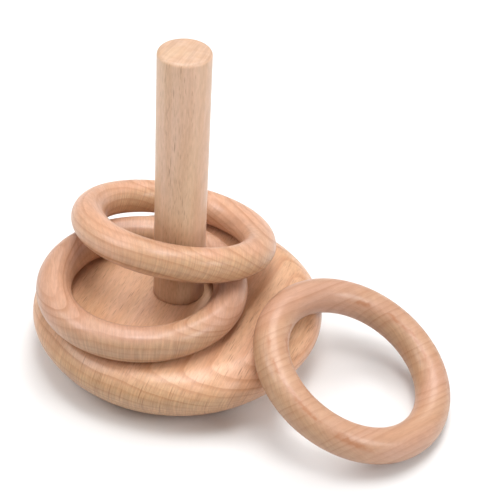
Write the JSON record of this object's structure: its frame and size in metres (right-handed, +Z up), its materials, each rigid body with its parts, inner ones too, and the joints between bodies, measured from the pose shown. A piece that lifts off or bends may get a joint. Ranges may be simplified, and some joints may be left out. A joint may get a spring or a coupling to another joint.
{
  "type": "wooden ring stacking puzzle",
  "caption": "Rounded wooden base with one upright post and loose round-section rings, one flat, one tilted across it and one leaning on the base's edge.",
  "frame": {"origin": "centre of the base's flat underside, on the post's axis", "axes": "+Z up along the post; -Y is the side from which the flat ring is seen to the left of the post and the leaning ring to its right"},
  "size_m": [0.1393, 0.1159, 0.1145],
  "materials": {
    "base_beech": "sanded beech with a thin satin oil, fine dark flecks, end grain on the rim",
    "post_beech": "sanded beech dowel with a thin satin oil, fine dark flecks along it, end grain on top",
    "ring_beech": "tumbled beech with a satin oil, soft growth bands and fine flecks"
  },
  "bodies": {
    "base": {"base": "base_beech", "post": "post_beech"},
    "lower_ring": {"lower_ring": "ring_beech"},
    "upper_ring": {"upper_ring": "ring_beech"},
    "loose_ring": {"loose_ring": "ring_beech"}
  },
  "joints": [
    {"name": "lower_ring_lift", "type": "slide", "parent": "base", "child": "lower_ring", "axis": [0, 0, 1], "range_m": [0, 0.12]},
    {"name": "upper_ring_lift", "type": "slide", "parent": "lower_ring", "child": "upper_ring", "axis": [0, 0, 1], "range_m": [0, 0.12]},
    {"name": "loose_ring_lift", "type": "slide", "parent": "base", "child": "loose_ring", "axis": [0, 0, 1], "range_m": [0, 0.12]}
  ]
}
